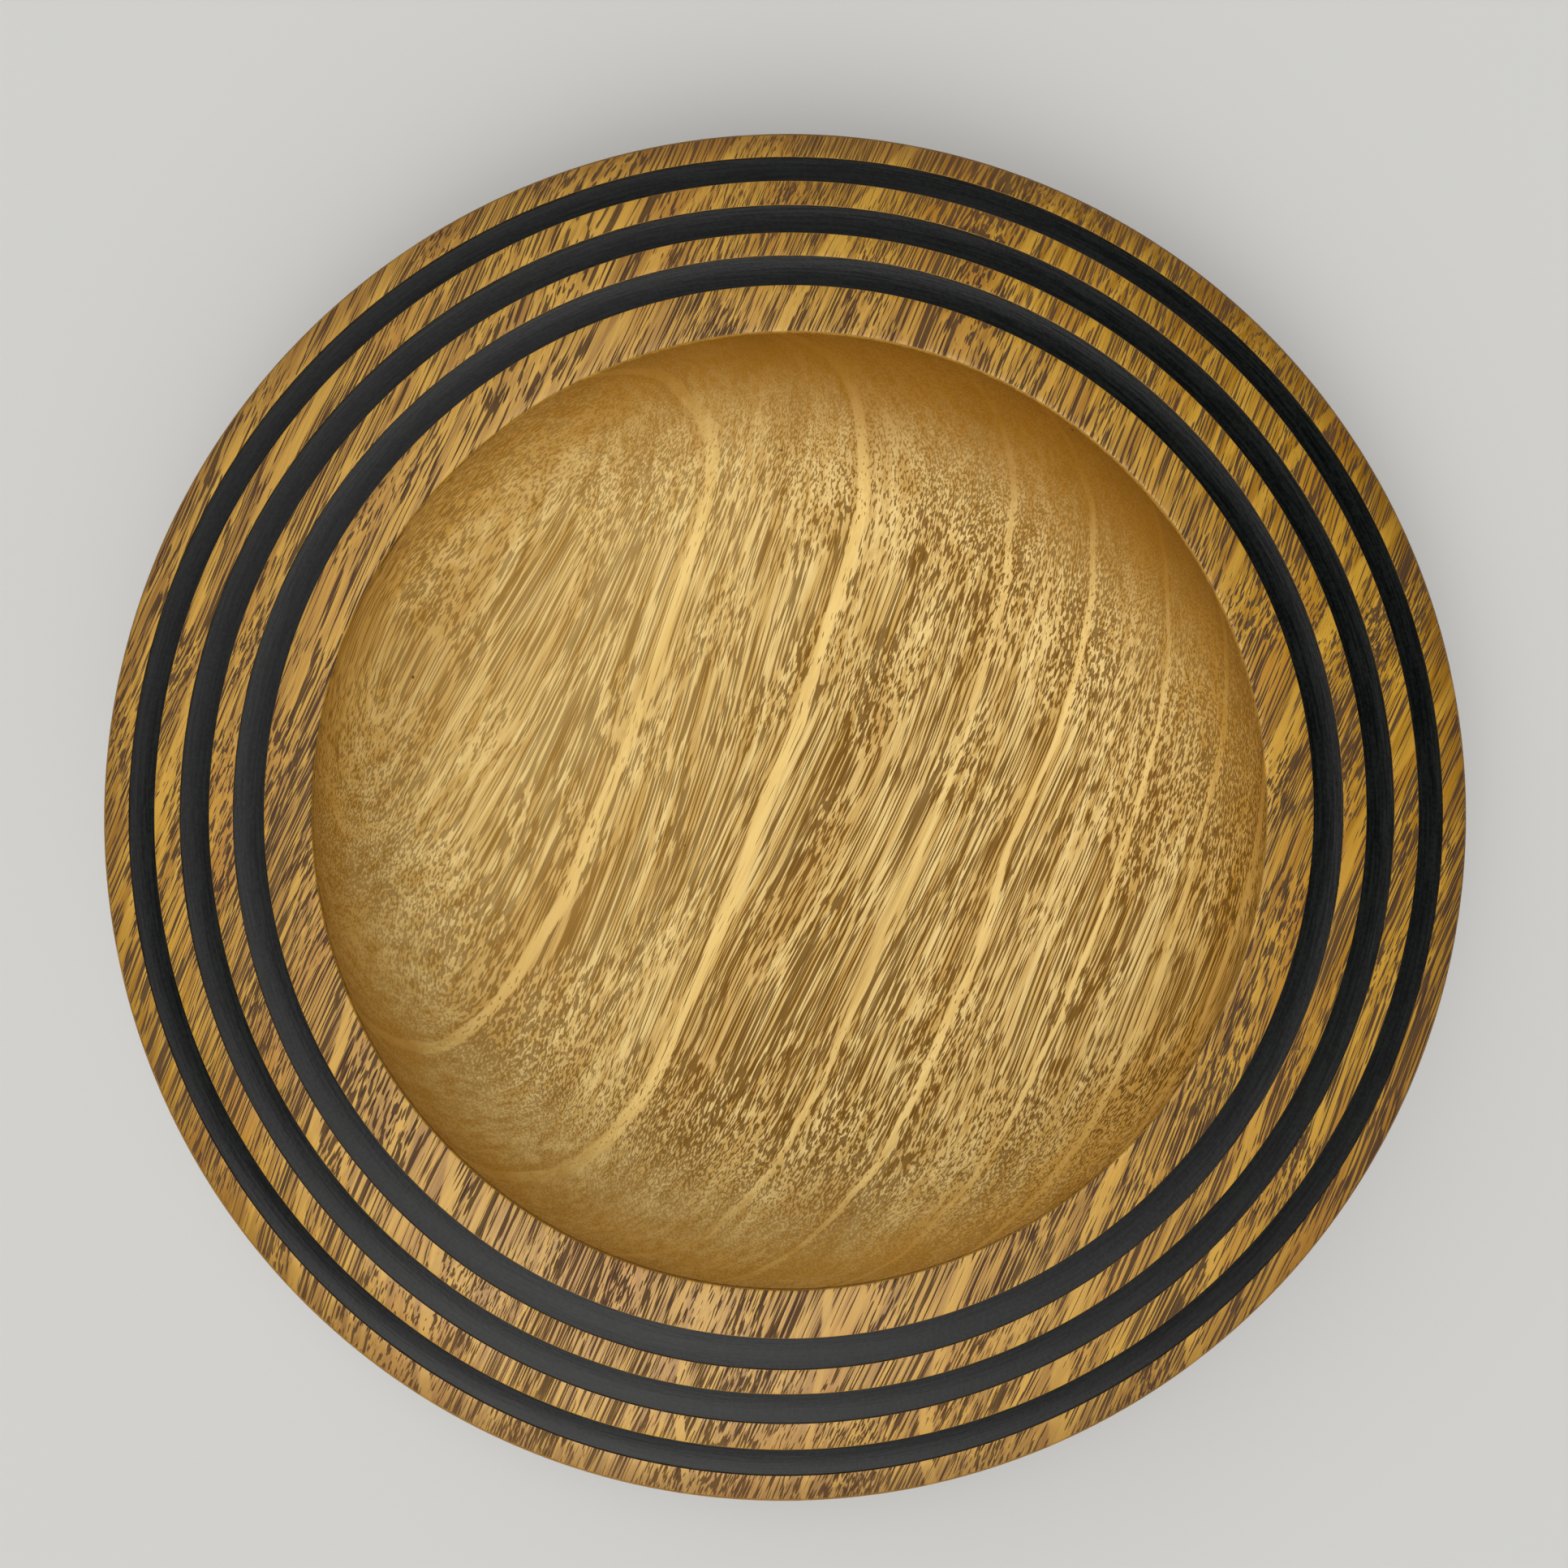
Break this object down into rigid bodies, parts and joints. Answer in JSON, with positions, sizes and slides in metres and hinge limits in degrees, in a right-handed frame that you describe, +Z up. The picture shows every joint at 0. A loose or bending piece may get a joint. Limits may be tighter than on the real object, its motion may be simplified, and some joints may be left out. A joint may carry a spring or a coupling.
{
  "type": "turned wooden bowl",
  "caption": "Shallow round wooden bowl turned from one block, with a broad sloping rim and black rings inlaid in it.",
  "frame": {"origin": "centre of the foot, on the plane the bowl stands on", "axes": "+Z up, along the bowl's turning axis; the bowl is the same all round, so +X and +Y only set how the wood's grain runs"},
  "size_m": [0.25, 0.25, 0.0419],
  "materials": {
    "turned_wood": "satin oil or wax over open-pored golden brown hardwood",
    "black_inlay": "satin black resin filling, slightly hollow"
  },
  "bodies": {
    "root": {"bowl_body": "turned_wood", "inlay_ring_outer": "black_inlay", "inlay_ring_middle": "black_inlay", "inlay_ring_inner": "black_inlay"}
  },
  "joints": []
}
